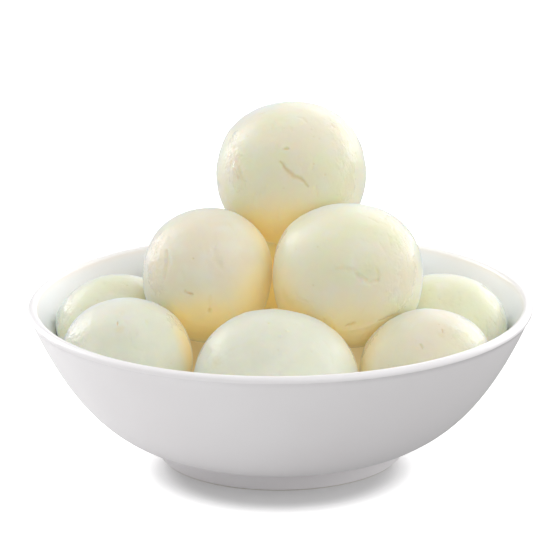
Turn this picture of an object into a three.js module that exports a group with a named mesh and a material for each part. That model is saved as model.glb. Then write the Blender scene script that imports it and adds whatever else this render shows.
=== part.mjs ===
// A white porcelain bowl heaped with rasgulla, the soft round milk sweets: a ring of seven on the
// bowl's wall, one in the middle of the floor, three on those, and one on top.
// Millimetres, +Z up, +Y away from the side that is seen first. The origin is the middle of the
// foot's underside.

import * as THREE from "three";
import { mergeVertices } from "three/addons/utils/BufferGeometryUtils.js";

// ---- Driving dimensions ------------------------------------------------------------------------

const BOWL = {
  lipRadius: 82.5, // to the outside of the rounded lip
  height: 51.8,
  wall: 2.9,
  lipRound: 1.7, // radius of the lip's rounding, fuller than half the wall
  lipProud: 0.4, // how far the lip stands out from the wall's outside
  footRadius: 40.5,
  footHeight: 5.4,
  footFace: 3.6, // width of the flat ring that it stands on
  footTaper: 0.2, // how far the foot's outside draws in towards the table
  footEdge: 0.5, // bevel on both edges of the flat ring
  recess: 3.2, // depth of the hollow inside the foot ring
  floorTop: 7.4, // height of the flat floor inside
  floorRadius: 28,
  rise: 11.2, // degrees above level at which the wall leaves the foot
  flare: 66.8, // degrees above level at which it reaches the lip
  risePull: 19.9, // how far the wall keeps to its first direction
  flarePull: 25, // how far it keeps to its last direction
  innerStart: 0.12, // share of the outside's curve below which the inside turns to the floor
  aroundCount: 64,
  wallSteps: 12,
  lipSteps: 6,
  floorSteps: 3, // in the rounding between wall and floor
};

// Each sweet: its middle, its half width, half depth and half height above the middle, how square
// its shoulders are (2 is a true ball), how tall its lower half is against the upper one, the seed
// of its lumps, and on some the one side where it swells out.
const SWEETS = [
  {
    name: "rasgulla_top",
    at: [3.9, 19.9, 89.1],
    half: [24.9, 24.4, 24],
    shoulders: 2.16,
    sag: 0.97,
    seed: 11,
  },
  {
    name: "rasgulla_middle_left",
    at: [-23.7, -4.4, 61.4],
    half: [20.9, 22.2, 21.7],
    shoulders: 2.1,
    sag: 1,
    seed: 23,
    swell: { toward: [0.75, -0.2, 0.65], by: 1.3 },
  },
  {
    name: "rasgulla_middle_right",
    at: [21.6, -12, 63.2],
    half: [24.4, 23.2, 22.9],
    shoulders: 2.28,
    sag: 1,
    seed: 37,
  },
  {
    name: "rasgulla_middle_back",
    at: [1.5, 30.8, 48.6],
    half: [20.4, 20.2, 20.4],
    shoulders: 2.1,
    sag: 0.95,
    seed: 41,
  },
  {
    name: "rasgulla_front",
    at: [-1.4, -42, 36.1],
    half: [26.8, 24.2, 23.6],
    shoulders: 2.05,
    sag: 1.03,
    seed: 53,
    swell: { toward: [-0.5, -0.1, 0.85], by: 1.4 },
  },
  {
    name: "rasgulla_front_left",
    at: [-49, -29.4, 40.4],
    half: [21.2, 20, 20.7],
    shoulders: 2.1,
    sag: 0.78,
    seed: 61,
  },
  {
    name: "rasgulla_front_right",
    at: [46.6, -34.4, 37],
    half: [21.8, 19.6, 20.9],
    shoulders: 2.25,
    sag: 0.78,
    seed: 79,
  },
  {
    name: "rasgulla_left",
    at: [-53.4, 6.5, 36.1],
    half: [22.4, 19.4, 22.3],
    shoulders: 2.06,
    sag: 0.78,
    seed: 83,
  },
  {
    name: "rasgulla_right",
    at: [53.3, 1.8, 36.1],
    half: [22.9, 20, 22.6],
    shoulders: 2.25,
    sag: 0.78,
    seed: 97,
  },
  {
    name: "rasgulla_back_left",
    at: [-27.4, 50, 41],
    half: [19.4, 19.4, 19.4],
    shoulders: 2.1,
    sag: 0.78,
    seed: 101,
  },
  {
    name: "rasgulla_back_right",
    at: [28.6, 50.2, 41.4],
    half: [19.6, 19.4, 19.4],
    shoulders: 2.1,
    sag: 0.78,
    seed: 113,
  },
  {
    name: "rasgulla_centre",
    at: [0.8, -0.5, 27.7],
    half: [20.8, 20.6, 20.4],
    shoulders: 2.1,
    sag: 1.02,
    seed: 127,
  },
];

const SOFT = {
  gap: 0.3, // space left where two sweets touch, or a sweet and the bowl
  roundOver: 1, // how softly the flat of a contact runs into the ball
  lumpCount: 6,
  lumpHeight: 0.006, // of the radius, for the broadest lump
  lumpBeats: 1.6, // radians of the broadest lump's wave across one radius
  lumpBeatsMore: 0.55, // how many more each next one has
  lumpFade: 0.3, // how much lower each next one is
  swellFocus: 5, // higher draws a swelling in to a smaller patch
  splits: 5, // times that each edge of the first icosahedron is cut
};

// How a ball's reach to the bowl is found: first by testing these shares of its radius, then by
// halving the stretch that holds the wall.
const SEARCH = { probes: [1.05, 1.5], halvings: 30, roomSteps: 48 };

const PORCELAIN = { color: 0xf4f3f4, roughness: 0.18, metalness: 0 };
const CHHENA = { color: 0xefe8cc, roughness: 0.42, metalness: 0 };

// ---- Bowl --------------------------------------------------------------------------------------

const radians = THREE.MathUtils.degToRad;

/** The direction that points `degrees` above level, away from the axis. */
function heading(degrees) {
  return new THREE.Vector2(Math.cos(radians(degrees)), Math.sin(radians(degrees)));
}

/** Points of an arc about `centre`, from one angle to another, in degrees. */
function arc(centre, radius, fromDegrees, toDegrees, steps) {
  const points = [];
  for (let i = 0; i <= steps; i += 1) {
    const at = fromDegrees + ((toDegrees - fromDegrees) * i) / steps;
    points.push(heading(at).multiplyScalar(radius).add(centre));
  }
  return points;
}

/** The wall's outside, as a curve from the top of the foot to where the lip's rounding starts. */
function outerWall() {
  const outward = heading(BOWL.flare - 90);
  const lipCentre = new THREE.Vector2(BOWL.lipRadius - BOWL.lipRound, BOWL.height - BOWL.lipRound);
  const start = new THREE.Vector2(BOWL.footRadius, BOWL.footHeight);
  const end = outward.multiplyScalar(BOWL.lipRound - BOWL.lipProud).add(lipCentre);
  return {
    lipCentre,
    curve: new THREE.CubicBezierCurve(
      start,
      heading(BOWL.rise).multiplyScalar(BOWL.risePull).add(start),
      heading(BOWL.flare).multiplyScalar(-BOWL.flarePull).add(end),
      end,
    ),
  };
}

/** The inside of the bowl, from the lip down to the flat floor, `inset` further in than the wall. */
function innerWall(curve, inset, steps) {
  const points = [];
  for (let i = 0; i <= steps; i += 1) {
    const t = 1 - ((1 - BOWL.innerStart) * i) / steps;
    const along = curve.getTangent(t);
    const inward = new THREE.Vector2(-along.y, along.x);
    points.push(inward.multiplyScalar(BOWL.wall + inset).add(curve.getPoint(t)));
  }
  const low = points[points.length - 1];
  const along = curve.getTangent(BOWL.innerStart);
  const floorTop = BOWL.floorTop + inset;
  const corner = new THREE.Vector2(low.x - ((low.y - floorTop) * along.x) / along.y, floorTop);
  const edge = new THREE.Vector2(BOWL.floorRadius, floorTop);
  const fillet = new THREE.QuadraticBezierCurve(low, corner, edge);
  points.push(...fillet.getPoints(BOWL.floorSteps).slice(1));
  return points;
}

/** The whole section of the bowl, from the axis under the floor round to the axis above it. */
function bowlSection() {
  const { lipCentre, curve } = outerWall();
  const { footRadius, footTaper, footEdge, footFace, recess, footHeight } = BOWL;
  const outerFace = footRadius - footTaper - footEdge;
  const innerFace = outerFace - footFace;
  const point = (r, z) => new THREE.Vector2(r, z);
  return [
    point(0, recess),
    point(innerFace - 2 * footEdge, recess),
    point(innerFace - footEdge, recess - footEdge),
    point(innerFace - footEdge, footEdge),
    point(innerFace, 0),
    point(outerFace, 0),
    point(outerFace + footEdge, footEdge),
    point(footRadius, footHeight - footEdge),
    ...curve.getPoints(BOWL.wallSteps),
    ...arc(lipCentre, BOWL.lipRound, BOWL.flare - 90, BOWL.flare + 90, BOWL.lipSteps).slice(1, -1),
    ...innerWall(curve, 0, BOWL.wallSteps),
    point(0, BOWL.floorTop),
  ];
}

function bowlGeometry() {
  const turned = new THREE.LatheGeometry(bowlSection(), BOWL.aroundCount);
  return turned.rotateX(Math.PI / 2);
}

// ---- Sweets ------------------------------------------------------------------------------------

/** A repeatable stream of numbers from 0 to 1: each state is the one before, mixed by large primes. */
function numbersFrom(seed) {
  const [first, second, third] = [2654435761, 2246822519, 3266489917];
  let state = seed * first;
  return () => {
    state = (Math.imul(state ^ (state >>> 15), second) + third) >>> 0;
    return ((state ^ (state >>> 13)) >>> 0) / 2 ** 32;
  };
}

/** The lumps of one hand-rolled ball, as a share of its radius in any direction. */
function lumpsOf(seed) {
  const next = numbersFrom(seed);
  const waves = [];
  for (let i = 0; i < SOFT.lumpCount; i += 1) {
    const axis = new THREE.Vector3(next() - 0.5, next() - 0.5, next() - 0.5).normalize();
    waves.push({
      axis,
      beats: SOFT.lumpBeats + SOFT.lumpBeatsMore * i,
      start: next() * 2 * Math.PI,
      height: SOFT.lumpHeight / (1 + SOFT.lumpFade * i),
    });
  }
  return (way) =>
    waves.reduce((sum, w) => sum + w.height * Math.cos(w.beats * way.dot(w.axis) + w.start), 0);
}

/** How much the ball's one-sided swelling adds in a direction. */
function swellReach(swell, way) {
  const toward = new THREE.Vector3(...swell.toward).normalize();
  return swell.by * Math.exp(SOFT.swellFocus * (way.dot(toward) - 1));
}

/** How far the ball's own form goes in a direction, before anything presses on it. */
function freeReach(sweet, lumps, way) {
  const [width, depth, height] = sweet.half;
  const tall = way.z < 0 ? height * sweet.sag : height;
  const power = sweet.shoulders;
  const sum =
    Math.abs(way.x / width) ** power +
    Math.abs(way.y / depth) ** power +
    Math.abs(way.z / tall) ** power;
  const swelling = sweet.swell ? swellReach(sweet.swell, way) : 0;
  return (1 + lumps(way)) * sum ** (-1 / power) + swelling;
}

/** How far it may go before it meets the flat that it shares with a neighbour. */
function neighbourReach(sweet, other, way) {
  const apart = new THREE.Vector3(...other.at).sub(new THREE.Vector3(...sweet.at));
  const distance = apart.length();
  const toward = way.dot(apart.divideScalar(distance));
  if (toward <= 0) return Infinity;
  const own = meanRadius(sweet);
  const its = meanRadius(other);
  const flat = (distance * distance + own * own - its * its) / (2 * distance);
  return (flat - SOFT.gap / 2) / toward;
}

function meanRadius(sweet) {
  return (sweet.half[0] + sweet.half[1] + sweet.half[2]) / 3;
}

/** How wide the room inside the bowl is at a height, `gap` clear of the wall. */
function roomRadius(room, height) {
  if (height <= room[room.length - 1].y) return 0;
  const above = room.findIndex((p) => p.y < height);
  if (above <= 0) return Infinity;
  const [high, low] = [room[above - 1], room[above]];
  return THREE.MathUtils.mapLinear(height, low.y, high.y, low.x, high.x);
}

/** How far a ball may go in a direction before it meets the bowl's wall or floor. */
function bowlReach(sweet, room, way) {
  const isClear = (far) => {
    const [x, y, z] = sweet.at.map((value, i) => value + far * way.getComponent(i));
    return Math.hypot(x, y) < roomRadius(room, z);
  };
  const probes = SEARCH.probes.map((share) => share * meanRadius(sweet));
  if (probes.every(isClear)) return Infinity;
  let inside = 0;
  let outside = probes[probes.length - 1];
  for (let i = 0; i < SEARCH.halvings; i += 1) {
    const middle = (inside + outside) / 2;
    if (isClear(middle)) inside = middle;
    else outside = middle;
  }
  return inside;
}

/** The smaller of two lengths, with a rounded change from one to the other. */
function softMin(a, b, round) {
  const near = Math.max(round - Math.abs(a - b), 0) / round;
  return Math.min(a, b) - (near * near * round) / 4;
}

function sweetGeometry(sweet, room) {
  const ball = new THREE.IcosahedronGeometry(1, SOFT.splits);
  ball.deleteAttribute("normal");
  ball.deleteAttribute("uv");
  const geometry = mergeVertices(ball, 1e-5);
  const lumps = lumpsOf(sweet.seed);
  const places = geometry.getAttribute("position");
  const way = new THREE.Vector3();
  for (let i = 0; i < places.count; i += 1) {
    way.fromBufferAttribute(places, i).normalize();
    let reach = softMin(freeReach(sweet, lumps, way), bowlReach(sweet, room, way), SOFT.roundOver);
    for (const other of SWEETS) {
      if (other === sweet) continue;
      reach = softMin(reach, neighbourReach(sweet, other, way), SOFT.roundOver);
    }
    places.setXYZ(i, ...way.multiplyScalar(reach).toArray());
  }
  geometry.computeVertexNormals();
  return geometry;
}

// ---- The part ----------------------------------------------------------------------------------

function buildPart() {
  const part = new THREE.Group();
  const bowl = new THREE.Mesh(bowlGeometry(), new THREE.MeshStandardMaterial(PORCELAIN));
  bowl.name = "bowl";
  part.add(bowl);

  const room = innerWall(outerWall().curve, SOFT.gap, SEARCH.roomSteps);
  const heap = new THREE.Group();
  for (const sweet of SWEETS) {
    const mesh = new THREE.Mesh(sweetGeometry(sweet, room), new THREE.MeshStandardMaterial(CHHENA));
    mesh.name = sweet.name;
    mesh.position.set(...sweet.at);
    heap.add(mesh);
  }
  part.add(heap);
  return part;
}

export default buildPart();
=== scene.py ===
"""Looks of a white porcelain bowl heaped with rasgulla, built around the frame of its solids.

Lengths are metres, +Z is up and the bowl's foot stands on the floor at the origin. The side that is
seen first faces -Y.
"""

import logging
import math
import random
from dataclasses import dataclass, field, replace
from enum import Enum
from typing import Any

import bpy
import numpy as np
from mathutils import Matrix, Vector, noise


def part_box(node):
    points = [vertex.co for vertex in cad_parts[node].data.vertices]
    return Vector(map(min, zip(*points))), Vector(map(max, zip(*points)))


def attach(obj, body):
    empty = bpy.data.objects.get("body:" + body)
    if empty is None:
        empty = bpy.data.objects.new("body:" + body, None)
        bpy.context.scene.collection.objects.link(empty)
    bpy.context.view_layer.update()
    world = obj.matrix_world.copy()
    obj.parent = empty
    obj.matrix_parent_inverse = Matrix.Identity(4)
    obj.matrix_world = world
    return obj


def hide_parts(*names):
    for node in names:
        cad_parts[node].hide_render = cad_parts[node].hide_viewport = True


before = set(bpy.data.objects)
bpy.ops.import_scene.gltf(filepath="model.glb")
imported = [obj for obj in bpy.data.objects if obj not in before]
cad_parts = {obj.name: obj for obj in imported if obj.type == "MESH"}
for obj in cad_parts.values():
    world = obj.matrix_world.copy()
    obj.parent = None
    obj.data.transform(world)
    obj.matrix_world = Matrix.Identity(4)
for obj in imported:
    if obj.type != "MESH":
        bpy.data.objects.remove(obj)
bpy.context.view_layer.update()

log = logging.getLogger("bowl_of_rasgulla")

MM = 0.001
BODY = "root"
LEAST_MOVE = 0.001 * MM

Colour = tuple[float, float, float]
Place = tuple[float, float, float]
Point = tuple[float, float]
Span = tuple[float, float]


# ---- Handwork on meshes ------------------------------------------------------------------------


def deselect_all() -> None:
    """Leaves nothing selected, because an operator acts on all that is selected."""
    bpy.ops.object.select_all(action="DESELECT")


def take(piece: bpy.types.Object) -> None:
    """Makes one piece the only selected and the active one."""
    deselect_all()
    piece.select_set(True)
    bpy.context.view_layer.objects.active = piece


def apply_modifier(piece: bpy.types.Object, kind: str, **settings: Any) -> None:
    """Adds one modifier to a piece and applies it.

    Args:
        piece: the piece to shape.
        kind: the modifier's type, such as "SUBSURF".
        **settings: the modifier's own settings.
    """
    take(piece)
    modifier = piece.modifiers.new(kind.lower(), kind)
    for name, value in settings.items():
        setattr(modifier, name, value)
    bpy.ops.object.modifier_apply(modifier=modifier.name)


def settle(piece: bpy.types.Object) -> None:
    """Puts the piece's place, turn and size into its mesh, so that its object sits at the origin."""
    take(piece)
    bpy.ops.object.transform_apply(location=True, rotation=True, scale=True)


def places_of(piece: bpy.types.Object) -> np.ndarray:
    """The places of a mesh's vertices.

    Args:
        piece: the piece to read.

    Returns:
        One row of x, y and z for each vertex.
    """
    flat = np.empty(len(piece.data.vertices) * 3)
    piece.data.vertices.foreach_get("co", flat)
    return flat.reshape(-1, 3)


def write_share(piece: bpy.types.Object, name: str, share: np.ndarray) -> None:
    """Stores one number from 0 to 1 at each vertex, for a material to read.

    Args:
        piece: the piece that gets the numbers.
        name: what the material calls them.
        share: one number for each vertex.
    """
    layer = piece.data.attributes.new(name, "FLOAT", "POINT")
    layer.data.foreach_set("value", share.astype(np.float32))


def move_skin(piece: bpy.types.Object, heights: np.ndarray) -> None:
    """Moves the skin along its normals.

    Args:
        piece: the piece to shape.
        heights: how far out each vertex goes, in metres, or in where it's below zero.
    """
    for way in (1, -1):
        most = max(float((way * heights).max()), LEAST_MOVE)
        group = piece.vertex_groups.new(name="moved")
        for i in np.flatnonzero(way * heights > LEAST_MOVE):
            group.add([int(i)], float(way * heights[i] / most), "REPLACE")
        apply_modifier(piece, "DISPLACE", vertex_group=group.name, strength=way * most, mid_level=0)
        piece.vertex_groups.clear()


def ease(low: float, high: float, value: np.ndarray) -> np.ndarray:
    """A soft step from 0 at `low` to 1 at `high`."""
    share = np.clip((value - low) / (high - low), 0, 1)
    return share * share * (3 - 2 * share)


# ---- Shader maths ------------------------------------------------------------------------------


class Value:
    """A socket that carries one number, on which Python's operators add Math nodes."""

    def __init__(self, graph: "Graph", socket: bpy.types.NodeSocket) -> None:
        """Wraps a socket of a graph."""
        self.graph = graph
        self.socket = socket

    def math(self, operation: str, first: Any, second: Any) -> "Value":
        """Adds a Math node.

        Args:
            operation: the node's operation.
            first: its first value or link.
            second: its second one.

        Returns:
            The node's result.
        """
        return self.graph.add("ShaderNodeMath", {"operation": operation}, {0: first, 1: second})

    def __add__(self, other: Any) -> "Value":
        """This number plus another."""
        return self.math("ADD", self, other)

    def __radd__(self, other: Any) -> "Value":
        """Another number plus this one."""
        return self.math("ADD", other, self)

    def __sub__(self, other: Any) -> "Value":
        """This number less another."""
        return self.math("SUBTRACT", self, other)

    def __rsub__(self, other: Any) -> "Value":
        """Another number less this one."""
        return self.math("SUBTRACT", other, self)

    def __mul__(self, other: Any) -> "Value":
        """This number times another."""
        return self.math("MULTIPLY", self, other)

    def __rmul__(self, other: Any) -> "Value":
        """Another number times this one."""
        return self.math("MULTIPLY", other, self)

    def __pow__(self, other: Any) -> "Value":
        """This number to a power."""
        return self.math("POWER", self, other)

    def step(self, low: float, high: float) -> "Value":
        """A soft step from 0 at `low` to 1 at `high`."""
        return self.graph.add(
            "ShaderNodeMapRange",
            {"interpolation_type": "SMOOTHSTEP"},
            {"Value": self, "From Min": low, "From Max": high},
        )

    def at_least(self, floor: float) -> "Value":
        """This number, or `floor` where it is below that."""
        return self.math("MAXIMUM", self, floor)


class Graph:
    """The nodes of one material, or of the air round the object."""

    def __init__(self, owner: bpy.types.Material | bpy.types.World) -> None:
        """Starts an empty graph in its owner."""
        owner.use_nodes = True
        self.tree = owner.node_tree
        self.tree.nodes.clear()

    def node(self, kind: str, settings: dict[str, Any], inputs: dict[Any, Any]) -> bpy.types.Node:
        """Adds a node of any type.

        Args:
            kind: the node's type.
            settings: what the node itself is set to.
            inputs: the value or link of each socket, by name or number.

        Returns:
            The node.
        """
        made = self.tree.nodes.new(kind)
        for name, value in settings.items():
            setattr(made, name, value)
        for name, value in inputs.items():
            self._feed(made.inputs[name], value)
        return made

    def add(self, kind: str, settings: dict[str, Any], inputs: dict[Any, Any], out: Any = 0) -> Value:
        """Adds a node and gives one of its outputs.

        Args:
            kind: the node's type.
            settings: what the node itself is set to.
            inputs: the value or link of each socket.
            out: the output's name or number.

        Returns:
            That output.
        """
        return Value(self, self.node(kind, settings, inputs).outputs[out])

    def place(self) -> Value:
        """The point on the object, in metres."""
        return self.add("ShaderNodeTexCoord", {}, {}, "Object")

    def share(self, name: str) -> Value:
        """A number that is stored at the vertices."""
        return self.add("ShaderNodeAttribute", {"attribute_name": name}, {}, "Fac")

    def noise(
        self,
        size: float,
        detail: float = 2.0,
        roughness: float = 0.5,
        twist: float = 0.0,
        squeeze: Place = (1.0, 1.0, 1.0),
    ) -> Value:
        """Soft noise on the object.

        Args:
            size: how far apart its lumps are, in metres.
            detail: how many finer layers it has.
            roughness: how strong those are.
            twist: how far it's distorted.
            squeeze: how many times closer the lumps lie along x, y and z.

        Returns:
            A number about one half.
        """
        stretched = self.add("ShaderNodeMapping", {}, {"Vector": self.place(), "Scale": squeeze})
        inputs = {
            "Vector": stretched,
            "Scale": 1 / size,
            "Detail": detail,
            "Roughness": roughness,
            "Distortion": twist,
        }
        return self.add("ShaderNodeTexNoise", {}, inputs, "Fac")

    def blend(self, share: Any, first: Any, second: Any) -> Value:
        """One colour going over to another.

        Args:
            share: how much of the second there is.
            first: the first colour.
            second: the second colour.

        Returns:
            The mixed colour.
        """
        made = self.node("ShaderNodeMix", {"data_type": "RGBA"}, {0: share})
        colours = [s for s in made.inputs if s.type == "RGBA"]
        for socket, colour in zip(colours, (first, second)):
            self._feed(socket, colour)
        return Value(self, next(s for s in made.outputs if s.type == "RGBA"))

    def mix(self, share: Value, first: Value, second: Value) -> Value:
        """One shader going over to another.

        Args:
            share: how much of the second there is.
            first: the first shader.
            second: the second shader.

        Returns:
            The mixed shader.
        """
        return self.add("ShaderNodeMixShader", {}, {0: share, 1: first, 2: second})

    def relief(self, height: Value, depth: float, strength: float) -> Value:
        """Fine relief for a Normal socket.

        Args:
            height: the height at each point, from 0 to 1.
            depth: how deep the whole of it is, in metres.
            strength: how much of it shows.

        Returns:
            The normal.
        """
        inputs = {"Height": height, "Distance": depth, "Strength": strength}
        return self.add("ShaderNodeBump", {}, inputs)

    def surface(self, inputs: dict[str, Any]) -> None:
        """Ends the graph in a Principled surface with these inputs."""
        shader = self.node("ShaderNodeBsdfPrincipled", {"subsurface_method": "RANDOM_WALK"}, inputs)
        self.node("ShaderNodeOutputMaterial", {}, {"Surface": Value(self, shader.outputs[0])})

    def _feed(self, socket: bpy.types.NodeSocket, value: Any) -> None:
        """Links or sets one socket."""
        if isinstance(value, Value):
            self.tree.links.new(value.socket, socket)
        elif socket.type == "RGBA" and len(value) == 3:
            socket.default_value = (*value, 1.0)
        else:
            socket.default_value = value


def tint(red: int, green: int, blue: int) -> Colour:
    """A colour as a screen shows it, as the light that a shader wants.

    Args:
        red: red, from 0 to 255.
        green: green, from 0 to 255.
        blue: blue, from 0 to 255.

    Returns:
        The linear colour.
    """

    def linear(level: int) -> float:
        """One channel, linear."""
        share = level / 255
        return share / 12.92 if share <= 0.04045 else ((share + 0.055) / 1.055) ** 2.4

    return linear(red), linear(green), linear(blue)


# ---- Finishes ----------------------------------------------------------------------------------


# syrup that gathers between the sweets, together with painted warm bounce light and a painted glow
# there
SYRUP_AND_BOUNCE_LIGHT = "warmth"
# syrup in marks and in the bowl; on the sweets its darker tint is also painted shade in cracks, pits
# and dents, and in the bowl it drives a painted glow
SYRUP_AND_PAINTED_LIGHT = "syrup"
CREPE = "crepe"
INSIDE = "inside"
BLACK: Colour = (0.0, 0.0, 0.0)
UPRIGHT: Place = (1.0, 1.0, 0.32)


@dataclass(frozen=True)
class WetChhena:
    """Spongy milk curd soaked in thin syrup: cream, a little see-through and wet outside.

    Syrup gathers where sweets lie together, and there the cream turns to straw and then amber; this
    tint also paints the warm light that bounces between the sweets. A faint painted glow there stands
    in for the light that passes through the curd soaked in syrup. Cracks, pits and dents turn a
    darker tan: syrup in them, and painted shade in the recesses.
    """

    rosy: Colour = tint(237, 231, 212)
    green: Colour = tint(234, 233, 209)
    milk: Colour = tint(237, 237, 224)
    # straw and amber: syrup tint between the sweets, also painted warm bounce light
    straw: Colour = tint(239, 230, 197)
    amber: Colour = tint(240, 225, 176)
    # darker tan of syrup in stains and marks, also painted shade in cracks, pits and dents
    deep: Colour = tint(218, 200, 140)
    # painted glow where sweets meet, standing in for light passing through the curd
    glow: Colour = tint(255, 243, 180)
    glow_strength: float = 0.1
    syrup_and_shade_share: float = 0.5
    hue_patch: float = 17 * MM
    hue_edge: Span = (0.38, 0.62)
    milk_patch: float = 9 * MM
    milk_edge: Span = (0.42, 0.75)
    milk_share: float = 0.6
    straw_edge: Span = (0.0, 0.6)
    amber_edge: Span = (0.4, 1.0)
    wrinkle: float = 1.3 * MM
    grain: float = 0.55 * MM
    grain_share: float = 0.06
    film_patch: float = 5 * MM
    film_edge: Span = (0.36, 0.6)
    see_through: float = 1.0
    reach: Colour = (1.0, 0.72, 0.4)
    reach_scale: float = 8 * MM
    relief_depth: float = 0.48 * MM
    smooth_share: float = 0.14
    roughness: float = 0.42
    film_polish: float = 0.1
    crepe_polish: float = 0.2
    ior: float = 1.42
    sheen: float = 0.6
    sheen_tint: Colour = tint(210, 228, 255)
    sheen_roughness: float = 0.35

    def material(self, name: str) -> bpy.types.Material:
        """Makes the finish.

        Args:
            name: the material's name.

        Returns:
            The material.
        """
        skin = bpy.data.materials.new(name)
        graph = Graph(skin)
        warmth = graph.share(SYRUP_AND_BOUNCE_LIGHT)
        syrup_and_shade = graph.share(SYRUP_AND_PAINTED_LIGHT)
        crepe = graph.share(CREPE)
        hue = graph.noise(self.hue_patch).step(*self.hue_edge)
        milky = graph.noise(self.milk_patch).step(*self.milk_edge)
        wrinkles = graph.noise(self.wrinkle, detail=3, roughness=0.6, twist=0.5, squeeze=UPRIGHT)
        grain = graph.noise(self.grain, roughness=0.6) * self.grain_share
        film = graph.noise(self.film_patch, detail=3).step(*self.film_edge)

        hued = graph.blend(hue, self.rosy, self.green)
        curd = graph.blend(milky * self.milk_share, hued, self.milk)
        # straw, then amber, between the sweets: syrup tint and painted warm bounce light
        yellowed = graph.blend(warmth.step(*self.straw_edge), curd, self.straw)
        syrup_and_bounce_tint = graph.blend(warmth.step(*self.amber_edge), yellowed, self.amber)
        polish = film * self.film_polish + crepe * self.crepe_polish
        folds = wrinkles * (self.smooth_share + (1 - self.smooth_share) * crepe)
        graph.surface(
            {
                # darker tan in marks: syrup, and painted shade in cracks, pits and dents
                "Base Color": graph.blend(syrup_and_shade * self.syrup_and_shade_share, syrup_and_bounce_tint, self.deep),
                "Roughness": self.roughness - polish + grain,
                "Subsurface Weight": self.see_through,
                "Subsurface Radius": self.reach,
                "Subsurface Scale": self.reach_scale,
                "IOR": self.ior,
                "Sheen Weight": self.sheen,
                "Sheen Roughness": self.sheen_roughness,
                "Sheen Tint": self.sheen_tint,
                # painted glow where sweets meet
                "Emission Color": graph.blend(warmth, BLACK, self.glow),
                "Emission Strength": self.glow_strength,
                "Normal": graph.relief(folds + grain, self.relief_depth, 1.0),
            }
        )
        return skin


@dataclass(frozen=True)
class WhiteGlaze:
    """Satin glaze over white porcelain, bare under the foot, wet with syrup inside, where a cooler
    tint and the syrup's glow are painted light.
    """

    body: Colour = tint(251, 249, 250)
    warm: Colour = tint(248, 245, 246)
    # painted light: the inside is tinted cooler and bluer to cancel the warm light that the sweets
    # throw on it
    cool_to_cancel_bounce: Colour = tint(242, 245, 252)
    biscuit: Colour = tint(226, 219, 208)
    syrup: Colour = tint(246, 234, 204)
    # painted glow of the syrup film low inside the bowl, which brightens the gaps between the sweets
    glow: Colour = tint(255, 222, 160)
    glow_strength: float = 0.08
    bare_below: float = 0.3 * MM
    drift: float = 45 * MM
    drift_edge: Span = (0.3, 0.7)
    ripple: float = 9 * MM
    ripple_share: float = 0.05
    grit: float = 0.4 * MM
    roughness: float = 0.38
    bare_roughness: float = 0.3
    ior: float = 1.5
    shine: float = 0.5
    shine_roughness: float = 0.22
    relief_depth: float = 0.12 * MM
    relief_strength: float = 0.25

    def material(self, name: str) -> bpy.types.Material:
        """Makes the finish.

        Args:
            name: the material's name.

        Returns:
            The material.
        """
        glaze = bpy.data.materials.new(name)
        graph = Graph(glaze)
        height = graph.add("ShaderNodeSeparateXYZ", {}, {"Vector": graph.place()}, "Z")
        bare = 1 - height.step(self.bare_below / 2, self.bare_below)
        drift = graph.noise(self.drift).step(*self.drift_edge)
        ripple = graph.noise(self.ripple)
        grit = graph.noise(self.grit)
        wet = graph.share(SYRUP_AND_PAINTED_LIGHT)

        outside = graph.blend(drift, self.body, self.warm)
        # inside: tinted cooler as painted light, then the syrup film
        glazed = graph.blend(wet, graph.blend(graph.share(INSIDE), outside, self.cool_to_cancel_bounce), self.syrup)
        graph.surface(
            {
                "Base Color": graph.blend(bare, glazed, self.biscuit),
                "Roughness": self.roughness + ripple * self.ripple_share + bare * self.bare_roughness,
                "IOR": self.ior,
                "Coat Weight": self.shine * (1 - bare),
                "Coat Roughness": self.shine_roughness,
                "Coat IOR": self.ior,
                # painted glow of the syrup film
                "Emission Color": graph.blend(wet, BLACK, self.glow),
                "Emission Strength": self.glow_strength,
                "Normal": graph.relief(ripple + bare * grit, self.relief_depth, self.relief_strength),
            }
        )
        return glaze


@dataclass(frozen=True)
class Paper:
    """White paper: what it throws back, and the light that it adds of its own."""

    colour: Colour
    glow: Colour

    def shader(self, graph: Graph) -> Value:
        """Its shader in a graph."""
        thrown = graph.add("ShaderNodeBsdfDiffuse", {}, {"Color": self.colour})
        added = graph.add("ShaderNodeEmission", {}, {"Color": self.glow})
        return graph.add("ShaderNodeAddShader", {}, {0: thrown, 1: added})


@dataclass(frozen=True)
class PaperFloor:
    """The plain white studio paper under the bowl.

    It shows white, except for a soft shade close under the bowl, drawn a little to the front. Light
    that it throws at the object is stronger on the left than on the right.
    """

    left: Paper = Paper((0.95, 0.95, 0.95), (0.03, 0.03, 0.03))
    right: Paper = Paper((0.25, 0.25, 0.25), (0.15, 0.15, 0.15))
    turnover: float = 120 * MM
    shaded: Paper = Paper((0.62, 0.62, 0.62), (0.12, 0.12, 0.12))
    clear: Paper = Paper((0.8, 0.8, 0.8), (0.8, 0.8, 0.8))
    shade_middle: Place = (0.0, -18 * MM, 0.0)
    shade_edge: Span = (32 * MM, 50 * MM)

    def material(self, name: str) -> bpy.types.Material:
        """Makes the finish.

        Args:
            name: the material's name.

        Returns:
            The material.
        """
        paper = bpy.data.materials.new(name)
        graph = Graph(paper)
        place = graph.place()
        across = graph.add("ShaderNodeSeparateXYZ", {}, {"Vector": place}, "X")
        side = across.step(-self.turnover, self.turnover)
        from_middle = {0: place, 1: self.shade_middle}
        far = graph.add("ShaderNodeVectorMath", {"operation": "DISTANCE"}, from_middle, "Value")
        thrown = graph.mix(side, self.left.shader(graph), self.right.shader(graph))
        shown = graph.mix(
            far.step(*self.shade_edge), self.shaded.shader(graph), self.clear.shader(graph)
        )
        seen = graph.add("ShaderNodeLightPath", {}, {}, "Is Camera Ray")
        graph.node("ShaderNodeOutputMaterial", {}, {"Surface": graph.mix(seen, thrown, shown)})
        return paper


# ---- Bowl --------------------------------------------------------------------------------------


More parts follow.
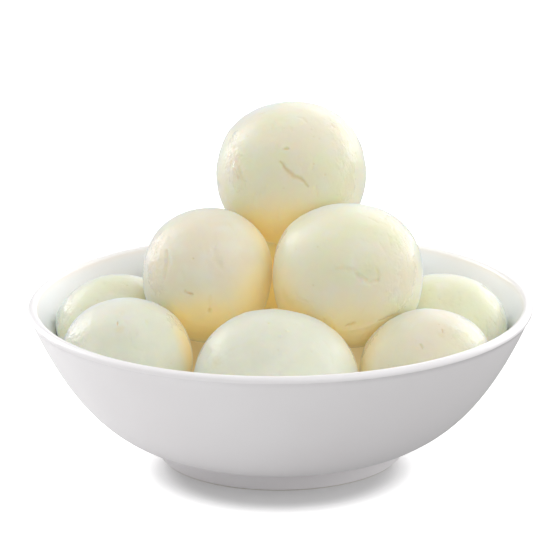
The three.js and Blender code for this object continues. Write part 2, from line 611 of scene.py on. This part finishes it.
def towards(degrees: float) -> Vector:
    """The direction that points so many degrees above level, away from the axis."""
    return Vector((math.cos(math.radians(degrees)), math.sin(math.radians(degrees))))


@dataclass
class PorcelainBowl:
    """The flared bowl on its low foot ring, spun from its section."""

    node: str = "bowl"
    wall: float = 2.9 * MM
    lip_round: float = 1.7 * MM
    lip_proud: float = 0.4 * MM
    foot_radius: float = 40.5 * MM
    foot_height: float = 5.4 * MM
    foot_face: float = 3.6 * MM
    foot_taper: float = 0.2 * MM
    foot_edge: float = 0.5 * MM
    recess: float = 3.2 * MM
    floor_top: float = 7.4 * MM
    floor_radius: float = 28 * MM
    wet_to: float = 27 * MM
    wet_fade: float = 7 * MM
    rise: float = 11.2
    flare: float = 66.8
    rise_pull: float = 19.9 * MM
    flare_pull: float = 25 * MM
    inner_start: float = 0.12
    wall_steps: int = 40
    lip_steps: int = 12
    floor_steps: int = 6
    around: int = 192
    weld: float = 0.02 * MM
    crease_angle: float = 40.0
    faces_up: Span = (0.1, 0.3)
    finish: WhiteGlaze = field(default_factory=WhiteGlaze)

    def __post_init__(self) -> None:
        """Takes the bowl's width and height from the frame."""
        low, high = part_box(self.node)
        self.lip_radius = (high.x - low.x) / 2
        self.height = high.z

    def wall_curve(self) -> tuple[Vector, tuple[Vector, Vector, Vector, Vector]]:
        """The wall's outside.

        Returns:
            The middle of the lip's rounding, and the four handles of the curve that runs to it from
            the top of the foot.
        """
        lip = Vector((self.lip_radius - self.lip_round, self.height - self.lip_round))
        start = Vector((self.foot_radius, self.foot_height))
        end = lip + towards(self.flare - 90) * (self.lip_round - self.lip_proud)
        leave = start + towards(self.rise) * self.rise_pull
        arrive = end - towards(self.flare) * self.flare_pull
        return lip, (start, leave, arrive, end)

    @staticmethod
    def along(handles: tuple[Vector, Vector, Vector, Vector], t: float) -> tuple[Vector, Vector]:
        """A point of a curve with four handles, and the curve's direction there.

        Args:
            handles: the curve's handles.
            t: the share of the curve, from 0 to 1.

        Returns:
            The point and the direction.
        """
        a, b, c, d = handles
        s = 1 - t
        point = a * s**3 + b * 3 * s * s * t + c * 3 * s * t * t + d * t**3
        way = (b - a) * s * s + (c - b) * 2 * s * t + (d - c) * t * t
        return point, way.normalized()

    def inside(self, handles: tuple[Vector, Vector, Vector, Vector]) -> list[Vector]:
        """The bowl's inside, from the lip down to the flat floor.

        Args:
            handles: the handles of the wall's outside.

        Returns:
            Its points.
        """
        points = []
        for i in range(self.wall_steps + 1):
            point, way = self.along(handles, 1 - (1 - self.inner_start) * i / self.wall_steps)
            points.append(point + Vector((-way.y, way.x)) * self.wall)
        low = points[-1]
        _, way = self.along(handles, self.inner_start)
        corner = Vector((low.x - (low.y - self.floor_top) * way.x / way.y, self.floor_top))
        edge = Vector((self.floor_radius, self.floor_top))
        for i in range(1, self.floor_steps + 1):
            t = i / self.floor_steps
            points.append(low * (1 - t) ** 2 + corner * 2 * t * (1 - t) + edge * t * t)
        return points

    def section(self) -> list[Vector]:
        """The whole section, from the axis under the floor round to the axis above it."""
        lip, handles = self.wall_curve()
        outer_face = self.foot_radius - self.foot_taper - self.foot_edge
        inner_face = outer_face - self.foot_face
        edge = self.foot_edge
        foot = [
            (0, self.recess),
            (inner_face - 4 * edge, self.recess),
            (inner_face - 2 * edge, self.recess),
            (inner_face - edge, self.recess - edge),
            (inner_face - edge, edge),
            (inner_face, 0),
            (outer_face, 0),
            (outer_face + edge, edge),
            (self.foot_radius, self.foot_height - edge),
        ]
        wall = [self.along(handles, i / self.wall_steps)[0] for i in range(self.wall_steps + 1)]
        turn = [self.flare - 90 + 180 * i / self.lip_steps for i in range(1, self.lip_steps)]
        rounding = [lip + towards(degrees) * self.lip_round for degrees in turn]
        middle = Vector((0, self.floor_top))
        return [Vector(p) for p in foot] + wall + rounding + self.inside(handles) + [middle]

    def build(self) -> bpy.types.Object:
        """Draws the section point by point, spins it about the axis and finishes the skin.

        Returns:
            The bowl.
        """
        points = [Vector((p.x, 0, p.y)) for p in self.section()]
        deselect_all()
        bpy.ops.mesh.primitive_plane_add(size=self.wall, location=points[0])
        piece = bpy.context.object
        piece.name = piece.data.name = "porcelain_bowl"
        settle(piece)
        bpy.ops.object.mode_set(mode="EDIT")
        bpy.ops.mesh.select_all(action="SELECT")
        bpy.ops.mesh.merge(type="CENTER")
        for here, there in zip(points, points[1:]):
            bpy.ops.mesh.extrude_region_move(TRANSFORM_OT_translate={"value": there - here})
        bpy.ops.mesh.select_all(action="SELECT")
        bpy.ops.mesh.spin(
            steps=self.around, angle=math.tau, center=(0, 0, 0), axis=(0, 0, 1), use_auto_merge=True
        )
        bpy.ops.mesh.select_all(action="SELECT")
        bpy.ops.mesh.remove_doubles(threshold=self.weld)
        bpy.ops.mesh.normals_make_consistent(inside=False)
        bpy.ops.object.mode_set(mode="OBJECT")
        take(piece)
        bpy.ops.object.shade_smooth_by_angle(angle=math.radians(self.crease_angle))
        inside = self.insides(piece)
        dry = ease(self.wet_to - self.wet_fade, self.wet_to, places_of(piece)[:, 2])
        write_share(piece, INSIDE, inside)
        write_share(piece, SYRUP_AND_PAINTED_LIGHT, inside * (1 - dry))
        return piece

    def insides(self, piece: bpy.types.Object) -> np.ndarray:
        """Which part of the bowl is its inside.

        Args:
            piece: the bowl.

        Returns:
            A share for each vertex: 1 inside, 0 outside and underneath.
        """
        normals = np.empty(len(piece.data.vertices) * 3)
        piece.data.vertex_normals.foreach_get("vector", normals)
        faces_up = ease(*self.faces_up, normals.reshape(-1, 3)[:, 2])
        heights = places_of(piece)[:, 2]
        above_foot = ease(self.floor_top - self.wall, self.floor_top - self.wall / 2, heights)
        below_lip = 1 - ease(self.height - self.wall, self.height - self.lip_round, heights)
        return faces_up * above_foot * below_lip

    def dress(self, piece: bpy.types.Object) -> None:
        """Glazes the bowl and sets it in the solid bowl's place."""
        piece.data.materials.append(self.finish.material("white_glaze"))
        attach(piece, BODY)
        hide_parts(self.node)


# ---- Sweets ------------------------------------------------------------------------------------

SWEET = "rasgulla_"
RAGGED = 0.5
RAG_SIZE = 0.9 * MM


def heading(turn: float, lift: float) -> Vector:
    """A direction.

    Args:
        turn: degrees to the right of the front.
        lift: degrees above level.

    Returns:
        The direction, of length one.
    """
    t, l = math.radians(turn), math.radians(lift)
    return Vector((math.sin(t) * math.cos(l), -math.cos(t) * math.cos(l), math.sin(l)))


class MarkKind(Enum):
    """What a hand-rolled sweet carries.

    Each has the way it moves the skin, how much syrup it holds and how wrinkled it is. Its syrup
    tints the curd a darker tan, which in cracks, pits and dents is also painted shade.
    """

    CRACK = (-1.0, 1.0, 0.0)
    PIT = (-1.0, 0.85, 0.0)
    DENT = (-0.6, 0.1, 0.0)
    RIDGE = (0.7, 0.0, 0.0)
    BEAD = (1.0, 0.05, 0.0)
    STAIN = (0.0, 0.5, 0.0)
    CREPE = (0.0, 0.0, 1.0)

    @property
    def push(self) -> float:
        """Above 0 where it stands out, below 0 where it goes in, 0 where it's only on the skin."""
        return self.value[0]

    @property
    def syrup(self) -> float:
        """How much syrup it holds, from 0 to 1; in cracks, pits and dents its darker tint is also
        painted shade.
        """
        return self.value[1]

    @property
    def wrinkled(self) -> float:
        """How finely wrinkled and wet it is, from 0 to 1."""
        return self.value[2]


@dataclass(frozen=True)
class Mark:
    """One mark on a sweet.

    Args:
        kind: what it is.
        path: the points that it follows, each as degrees to the right of the front and degrees
            above level, about the middle of the sweet.
        width: how wide it is in millimetres.
        depth: how deep it is, or how high it stands, in millimetres.
        taper: how much narrower it is at its ends, from 0 to 1.
    """

    kind: MarkKind
    path: tuple[Point, ...]
    width: float
    depth: float = 0.0
    taper: float = 0.0

    def share(self, ways: np.ndarray, radii: np.ndarray) -> np.ndarray:
        """How much of the mark each point of the skin takes.

        Args:
            ways: the direction of each point from the middle of the sweet.
            radii: how far each point is from there.

        Returns:
            A share for each point: 1 in the middle of the mark, 0 away from it.
        """
        stops = [np.array(heading(turn, lift)) for turn, lift in self.path]
        nearest = np.linalg.norm(ways - stops[0], axis=1)
        along = np.zeros(len(ways))
        runs = max(len(stops) - 1, 1)
        for i, (a, b) in enumerate(zip(stops, stops[1:])):
            t = np.clip((ways - a) @ (b - a) / ((b - a) @ (b - a)), 0, 1)
            far = np.linalg.norm(ways - a - t[:, None] * (b - a), axis=1)
            along = np.where(far < nearest, (i + t) / runs, along)
            nearest = np.minimum(nearest, far)
        half = self.width * MM / 2 * (1 - self.taper * (1 - np.sin(np.pi * along)))
        share = np.zeros(len(ways))
        close = np.flatnonzero(nearest * radii < half * (1 + RAGGED))
        for i in close:
            rag = 1 + RAGGED * noise.noise(Vector(ways[i] * radii[i] / RAG_SIZE))
            share[i] = 1 - ease(0, 1, nearest[i] * radii[i] / (half[i] * rag))
        return share


@dataclass(frozen=True)
class SmallMarks:
    """What is strewn over any sweet: pores, short creases and, behind, wrinkled patches.

    A span holds the least and the most that is drawn. Widths and depths are millimetres, and lifts,
    leans, drops and rises are degrees.
    """

    pores: int = 16
    pore_lift: Span = (-35, 75)
    pore_width: Span = (0.5, 0.9)
    pore_depth: Span = (0.15, 0.3)
    creases: int = 26
    crease_lift: Span = (-35, 70)
    crease_lean: Span = (-7, 7)
    crease_drop: Span = (4, 12)
    crease_width: Span = (1.2, 2.4)
    crease_depth: Span = (0.1, 0.28)
    crease_taper: float = 0.7
    patches: int = 4
    patch_gap: float = 60.0
    patch_lift: Span = (5, 25)
    patch_lean: Span = (-14, 14)
    patch_rise: Span = (12, 26)
    patch_width: Span = (9, 14)

    def marks(self, seed: str) -> tuple[Mark, ...]:
        """Strews them, the same way on each run.

        Args:
            seed: what the draws start from.

        Returns:
            The marks.
        """
        draw = random.Random(seed).uniform
        marks = []
        for _ in range(self.pores):
            place = (draw(-180, 180), draw(*self.pore_lift))
            marks.append(Mark(MarkKind.PIT, (place,), draw(*self.pore_width), draw(*self.pore_depth)))
        for _ in range(self.creases):
            turn, lift = draw(-180, 180), draw(*self.crease_lift)
            end = (turn + draw(*self.crease_lean), lift - draw(*self.crease_drop))
            width, depth = draw(*self.crease_width), draw(*self.crease_depth)
            marks.append(Mark(MarkKind.DENT, ((turn, lift), end), width, depth, self.crease_taper))
        for i in range(self.patches):
            turn = 180 + self.patch_gap * (i - (self.patches - 1) / 2)
            lift = draw(*self.patch_lift)
            end = (turn + draw(*self.patch_lean), lift + draw(*self.patch_rise))
            marks.append(Mark(MarkKind.CREPE, ((turn, lift), end), draw(*self.patch_width)))
        return tuple(marks)


@dataclass(frozen=True)
class SyrupAndLightPool:
    """Syrup where three sweets meet, with the painted warm light that bounces between them.

    It turns the curd round it straw and then amber, and gives it a faint painted glow.

    Args:
        between: the names of the three sweets.
        strength: how much syrup, painted bounce light and glow it gives, from 0 to 1.
        core: how far it reaches at full strength.
        edge: how far it reaches at all.
    """

    between: tuple[str, str, str]
    strength: float
    core: float = 8 * MM
    edge: float = 24 * MM

    def share(self, places: np.ndarray) -> np.ndarray:
        """How much of the syrup and its painted warm bounce light reaches each point.

        Args:
            places: the points.

        Returns:
            A share for each point.
        """
        middles = [sum(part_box(SWEET + name), Vector()) / 2 for name in self.between]
        far = np.linalg.norm(places - np.mean(middles, axis=0), axis=1)
        return self.strength * (1 - ease(self.core, self.edge, far))


class Tone(Enum):
    """How the curd of one sweet is tinted: its rosier and its greener colour."""

    CREAM = (tint(240, 234, 211), tint(236, 236, 207))
    BEIGE = (tint(236, 229, 208), tint(234, 230, 205))
    COOL = (tint(230, 231, 213), tint(229, 231, 214))
    GREENISH = (tint(232, 232, 208), tint(230, 232, 205))


@dataclass
class Sweet:
    """One rasgulla: a ball pressed to its neighbours and the bowl, with a spongy, marked skin."""

    name: str
    tone: Tone
    marks: tuple[Mark, ...] = ()
    seen: bool = True
    first_cuts: int = 4
    fine_levels: int = 3
    coarse_levels: int = 2
    lump: float = 11 * MM
    lump_height: float = 0.5 * MM
    dimple: float = 3.4 * MM
    dimple_height: float = 0.22 * MM
    wrinkle: float = 1.5 * MM
    wrinkle_height: float = 0.09 * MM
    strewn: SmallMarks = field(default_factory=SmallMarks)
    finish: WetChhena = field(default_factory=WetChhena)

    def __post_init__(self) -> None:
        """Takes the middle and the radius from the frame."""
        self.node = SWEET + self.name
        low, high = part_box(self.node)
        self.middle = (low + high) / 2
        self.radius = max(high - low) / 2

    def build(self, pools: tuple[SyrupAndLightPool, ...]) -> bpy.types.Object:
        """Rolls the ball, presses it into its place and works its skin.

        Args:
            pools: the syrup between the sweets, with its painted warm bounce light and glow.

        Returns:
            The sweet.
        """
        deselect_all()
        bpy.ops.mesh.primitive_ico_sphere_add(
            subdivisions=self.first_cuts, radius=self.radius, location=self.middle
        )
        piece = bpy.context.object
        piece.name = piece.data.name = f"sweet_{self.name}"
        settle(piece)
        apply_modifier(piece, "SHRINKWRAP", target=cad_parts[self.node])
        levels = self.fine_levels if self.seen else self.coarse_levels
        apply_modifier(piece, "SUBSURF", levels=levels, render_levels=levels)
        self.rough_up(piece)
        self.press_marks(piece)
        places = places_of(piece)
        # syrup and painted warm bounce light where sweets meet
        write_share(piece, SYRUP_AND_BOUNCE_LIGHT, np.max([pool.share(places) for pool in pools], axis=0))
        take(piece)
        bpy.ops.object.shade_smooth()
        return piece

    def rough_up(self, piece: bpy.types.Object) -> None:
        """Gives the skin its lumps, dimples and fine wrinkles."""
        layers = (
            ("lumps", self.lump, self.lump_height, 1),
            ("dimples", self.dimple, self.dimple_height, 2),
            ("wrinkles", self.wrinkle, self.wrinkle_height, 2),
        )
        for name, size, height, depth in layers:
            pattern = bpy.data.textures.new(name, "CLOUDS")
            pattern.noise_scale = size
            pattern.noise_depth = depth
            looks = {"texture": pattern, "texture_coords": "LOCAL"}
            apply_modifier(piece, "DISPLACE", strength=height, mid_level=0.5, **looks)

    def press_marks(self, piece: bpy.types.Object) -> None:
        """Presses the marks in, and stores for the material where wrinkles are and where syrup tints
        the curd darker, which in cracks, pits and dents is painted shade as well.
        """
        ways = places_of(piece) - np.array(self.middle)
        radii = np.linalg.norm(ways, axis=1)
        ways = ways / radii[:, None]
        syrup, crepe, heights = (np.zeros(len(ways)) for _ in range(3))
        for mark in self.marks + self.strewn.marks(self.node):
            share = mark.share(ways, radii)
            # syrup tint; in cracks, pits and dents it also paints shade
            syrup = np.maximum(syrup, share * mark.kind.syrup)
            crepe = np.maximum(crepe, share * mark.kind.wrinkled)
            heights += share * mark.kind.push * mark.depth * MM
        move_skin(piece, heights)
        write_share(piece, SYRUP_AND_PAINTED_LIGHT, syrup)
        write_share(piece, CREPE, crepe)

    def dress(self, piece: bpy.types.Object) -> None:
        """Wets the sweet and sets it in the solid sweet's place."""
        rosy, green = self.tone.value
        finish = replace(self.finish, rosy=rosy, green=green)
        piece.data.materials.append(finish.material(piece.name + "_skin"))
        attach(piece, BODY)
        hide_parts(self.node)


@dataclass
class Heap:
    """All the sweets, from the ring on the bowl's wall up to the one on top."""

    sweets: tuple[Sweet, ...]
    pools: tuple[SyrupAndLightPool, ...]

    def build(self) -> None:
        """Makes and dresses each sweet."""
        for sweet in self.sweets:
            piece = sweet.build(self.pools)
            sweet.dress(piece)
            log.info("%s: %d faces", piece.name, len(piece.data.polygons))


def heap_of_rasgulla() -> Heap:
    """The heap as it lies, with the marks that each sweet shows."""
    crack, pit, dent, ridge = MarkKind.CRACK, MarkKind.PIT, MarkKind.DENT, MarkKind.RIDGE
    bead, stain, crepe = MarkKind.BEAD, MarkKind.STAIN, MarkKind.CREPE
    top = (
        Mark(crack, ((-9.6, 23.2), (-3.6, 16.4), (1.5, 12), (7.4, 10), (12.8, 3.7)), 2.5, 0.24, 0.6),
        Mark(stain, ((-3.6, 16), (1, 12)), 3.8, taper=0.3),
        Mark(crepe, ((-66, 32), (-54, 19), (-44, 4)), 13.0),
        Mark(crepe, ((62, 44), (56, 28), (51, 14), (48, -4)), 13.0),
        Mark(pit, ((-6.2, 33.2), (-2.5, 33.3)), 1.3, 0.5, 0.3),
        Mark(dent, ((18.5, 3.7), (20.1, -5)), 1.8, 0.3, 0.5),
        Mark(dent, ((9.6, 63.6), (19.4, 61.2), (21.1, 56.4)), 1.6, 0.3, 0.4),
        Mark(bead, ((25.6, 49),), 1.2, 0.25),
        Mark(pit, ((26.6, 11.4),), 0.8, 0.3),
        Mark(dent, ((-50, 13), (-44, 7)), 1.4, 0.35, 0.3),
        Mark(dent, ((-45, 15), (-38, 6), (-37, 1)), 1.5, 0.35, 0.3),
        Mark(stain, ((-44, 9),), 6.0),
    )
    middle_left = (
        Mark(crepe, ((-64, 38), (-60, 21), (-48, 5)), 13.0),
        Mark(pit, ((-17.7, 2.2),), 0.9, 0.6),
        Mark(pit, ((-15.7, 0.3), (-11.7, -0.2)), 1.1, 0.7, 0.2),
        Mark(pit, ((-12.2, 29.5),), 0.8, 0.4),
        Mark(crack, ((2.7, -13.8), (2.6, -16)), 1.6, 0.5),
        Mark(dent, ((2.9, -1), (2.8, -12)), 1.8, 0.4, 0.4),
        Mark(dent, ((-42.4, 33.2), (-36.4, 24.2), (-37, 10)), 3.0, 0.6, 0.5),
        Mark(ridge, ((-41, 34.5), (-34, 30), (-31, 24)), 2.0, 0.35, 0.3),
        Mark(dent, ((8, 38.2), (9.6, 30), (13.4, 21.7)), 5.0, 0.35, 0.5),
    )
    middle_right = (
        Mark(crepe, ((84, 52), (60, 30), (50, 7), (42, -6)), 16.0),
        Mark(ridge, ((-2.5, 25.2), (0.5, 24.6)), 3.4, 0.3),
        Mark(dent, ((-12, 21.3), (-4.4, 21.5), (4, 19.6), (8.1, 15)), 2.4, 0.45, 0.4),
        Mark(dent, ((5, 17.5), (8.1, 15), (16.2, 10.4), (22.4, 11)), 2.6, 0.45, 0.4),
        Mark(dent, ((22.2, 21), (23.4, 15), (22.2, 10.7)), 1.8, 0.35, 0.3),
        Mark(dent, ((13, 17),), 8.0, 0.35),
        Mark(bead, ((-24, 43), (-23, 38.5)), 0.9, 0.3),
        Mark(pit, ((-28.2, 7.3),), 0.8, 0.35),
        Mark(stain, ((-56, -4), (-50, -9)), 6.0),
        Mark(ridge, ((-42, -5.1),), 2.8, 0.35),
        Mark(dent, ((-38, -5), (-33, -6.2)), 1.3, 0.3, 0.4),
        Mark(pit, ((-21.1, -20),), 1.5, 0.4),
        Mark(crack, ((-2.9, -25.9), (1, -24.8), (4.1, -23.5)), 1.3, 0.55, 0.4),
        Mark(ridge, ((0.6, -30), (12, -27), (22.3, -22.7)), 3.0, 0.45, 0.4),
        Mark(crack, ((24.6, -22.4), (36, -20.5), (46.6, -21.1)), 1.2, 0.4, 0.4),
    )
    front_left = (
        Mark(crepe, ((-66, 25), (-54, 24)), 9.0),
        Mark(pit, ((-11.2, 51.7), (-9.9, 48.4)), 1.0, 0.55, 0.3),
        Mark(stain, ((-6, 44),), 4.5),
    )
    front_right = (
        Mark(crepe, ((46, 46), (54, 30)), 11.0),
        Mark(pit, ((25.2, 55.9), (23.4, 52.4)), 1.0, 0.5, 0.3),
        Mark(stain, ((20, 50),), 4.0),
        Mark(pit, ((-9.6, 41), (-6.8, 37)), 0.9, 0.4, 0.3),
    )
    front = (
        Mark(bead, ((18.7, 63),), 1.5, 0.35),
        Mark(bead, ((7, 58.2),), 1.4, 0.3),
        Mark(bead, ((51.3, 52.3),), 1.2, 0.3),
        Mark(bead, ((44.5, 47.4),), 1.2, 0.3),
        Mark(pit, ((37.9, 40.9),), 1.0, 0.35),
        Mark(pit, ((68, 23.7),), 0.9, 0.3),
        Mark(stain, ((-55, 28),), 6.0),
    )
    left = (
        Mark(crepe, ((-80, 30), (-68, 18)), 12.0),
        Mark(pit, ((-45.6, 34.4),), 0.8, 0.3),
        Mark(pit, ((-30.5, 47.3),), 0.8, 0.3),
    )
    right = (
        Mark(crepe, ((80, 36), (64, 22), (50, 14)), 13.0),
        Mark(dent, ((44.5, 22), (41.6, 11)), 1.3, 0.4, 0.3),
        Mark(dent, ((50, 26), (55, 18)), 1.2, 0.35, 0.3),
    )
    # syrup, with painted warm bounce light and a painted glow, where sweets meet
    pools = (
        SyrupAndLightPool(("top", "middle_left", "middle_right"), 0.85),
        SyrupAndLightPool(("middle_left", "middle_right", "front"), 0.85),
        SyrupAndLightPool(("middle_left", "front", "front_left"), 0.9, edge=20 * MM),
        SyrupAndLightPool(("middle_right", "front", "front_right"), 0.65),
        SyrupAndLightPool(("middle_left", "middle_right", "middle_back"), 1.0),
        SyrupAndLightPool(("middle_back", "left", "back_left"), 0.6),
        SyrupAndLightPool(("middle_back", "right", "back_right"), 0.6),
        SyrupAndLightPool(("middle_back", "back_left", "back_right"), 0.6),
    )
    sweets = (
        Sweet("top", Tone.CREAM, top),
        Sweet("middle_left", Tone.BEIGE, middle_left),
        Sweet("middle_right", Tone.CREAM, middle_right),
        Sweet("middle_back", Tone.BEIGE),
        Sweet("front", Tone.COOL, front),
        Sweet("front_left", Tone.COOL, front_left),
        Sweet("front_right", Tone.BEIGE, front_right),
        Sweet("left", Tone.GREENISH, left),
        Sweet("right", Tone.GREENISH, right),
        Sweet("back_left", Tone.CREAM),
        Sweet("back_right", Tone.COOL),
        Sweet("centre", Tone.CREAM, seen=False),
    )
    return Heap(sweets, pools)


# ---- Studio ------------------------------------------------------------------------------------


@dataclass(frozen=True)
class Glow:
    """Soft light that comes through the air from one side.

    Args:
        turn: degrees to the right of the front.
        lift: degrees above level.
        strength: how bright it is in its middle.
        sharpness: how quickly it fades away from there.
    """

    turn: float
    lift: float
    strength: float
    sharpness: float = 6.0


@dataclass(frozen=True)
class Air:
    """The white room round the object, as the light that comes from each side of it."""

    everywhere: float = 0.1
    glows: tuple[Glow, ...] = (
        Glow(-115, 12, 0.9),
        Glow(-115, 45, 2.2),
        Glow(115, 12, 2.4),
        Glow(155, 12, 2.6),
        Glow(40, 45, 2.6),
    )

    def fill(self) -> None:
        """Fills the world with it."""
        world = bpy.data.worlds.new("white_room")
        bpy.context.scene.world = world
        graph = Graph(world)
        way = graph.add("ShaderNodeTexCoord", {}, {}, "Generated")
        strength = self.everywhere + sum(self.shine(graph, way, glow) for glow in self.glows)
        light = graph.add("ShaderNodeBackground", {}, {"Strength": strength})
        graph.node("ShaderNodeOutputWorld", {}, {"Surface": light})

    @staticmethod
    def shine(graph: Graph, way: Value, glow: Glow) -> Value:
        """How bright one glow is in each direction.

        Args:
            graph: the world's graph.
            way: the direction.
            glow: the glow.

        Returns:
            Its strength there.
        """
        towards_it = {0: way, 1: heading(glow.turn, glow.lift)}
        near = graph.add("ShaderNodeVectorMath", {"operation": "DOT_PRODUCT"}, towards_it, "Value")
        return glow.strength * near.at_least(0.0) ** glow.sharpness


@dataclass(frozen=True)
class Strip:
    """A tall strip light beside the heap, which only shows as a glint on what is wet.

    Args:
        name: what it's called.
        turn: degrees to the right of the front.
        lift: degrees above level.
        width: its width in metres.
        height: its height in metres.
        power: how bright it is, in watts.
        distance: how far off it stands, in metres.
    """

    name: str
    turn: float
    lift: float
    width: float
    height: float
    power: float
    distance: float = 1.1

    def hang(self, aim: Vector) -> None:
        """Hangs the light, turned to `aim`."""
        lamp = bpy.data.lights.new(self.name, "AREA")
        lamp.shape = "RECTANGLE"
        lamp.size = self.width
        lamp.size_y = self.height
        lamp.energy = self.power
        holder = bpy.data.objects.new(self.name, lamp)
        holder.visible_diffuse = False
        bpy.context.scene.collection.objects.link(holder)
        place = aim + heading(self.turn, self.lift) * self.distance
        look = (aim - place).to_track_quat("-Z", "Y").to_matrix().to_4x4()
        holder.matrix_world = Matrix.Translation(place) @ look


@dataclass
class Studio:
    """The floor, the lights and the camera."""

    floor_size: float = 12.0
    air: Air = Air()
    aim_height: float = 58.39 * MM
    distance: float = 1000 * MM
    lift: float = 16.36
    roll: float = -0.4
    lens: float = 196.9
    sensor: float = 36.0
    bounces: int = 14
    strips: tuple[Strip, ...] = (
        Strip("left_strip", -130, 12, 0.45, 1.0, 7.0),
        Strip("right_strip", 130, 12, 0.45, 1.0, 2.0),
    )

    def build(self) -> None:
        """Sets up the whole studio."""
        self.lay_floor()
        aim = Vector((0, 0, self.aim_height))
        for strip in self.strips:
            strip.hang(aim)
        self.air.fill()
        scene = bpy.context.scene
        scene.view_settings.view_transform = "Standard"
        scene.cycles.max_bounces = self.bounces
        scene.cycles.diffuse_bounces = self.bounces
        self.place_camera(aim)

    def lay_floor(self) -> None:
        """Lays the paper that the bowl stands on."""
        deselect_all()
        bpy.ops.mesh.primitive_plane_add(size=self.floor_size)
        floor = bpy.context.object
        floor.name = floor.data.name = "studio_floor"
        floor.data.materials.append(PaperFloor().material("studio_paper"))

    def place_camera(self, aim: Vector) -> None:
        """Sets the camera where the photograph was taken from, turned to `aim`."""
        lens = bpy.data.cameras.new("camera")
        lens.lens = self.lens
        lens.sensor_width = self.sensor
        lens.sensor_fit = "HORIZONTAL"
        camera = bpy.data.objects.new("camera", lens)
        bpy.context.scene.collection.objects.link(camera)
        place = aim + heading(0, self.lift) * self.distance
        look = (aim - place).to_track_quat("-Z", "Y").to_matrix().to_4x4()
        camera.matrix_world = Matrix.Translation(place) @ look @ Matrix.Rotation(
            math.radians(self.roll), 4, "Z"
        )
        bpy.context.scene.camera = camera


def main() -> None:
    """Builds the bowl, the heap in it and the studio round them."""
    logging.basicConfig(level=logging.INFO, format="%(name)s: %(message)s")
    bowl = PorcelainBowl()
    piece = bowl.build()
    bowl.dress(piece)
    log.info("%s: %d faces", piece.name, len(piece.data.polygons))
    heap_of_rasgulla().build()
    Studio().build()


if __name__ == "__main__":
    main()
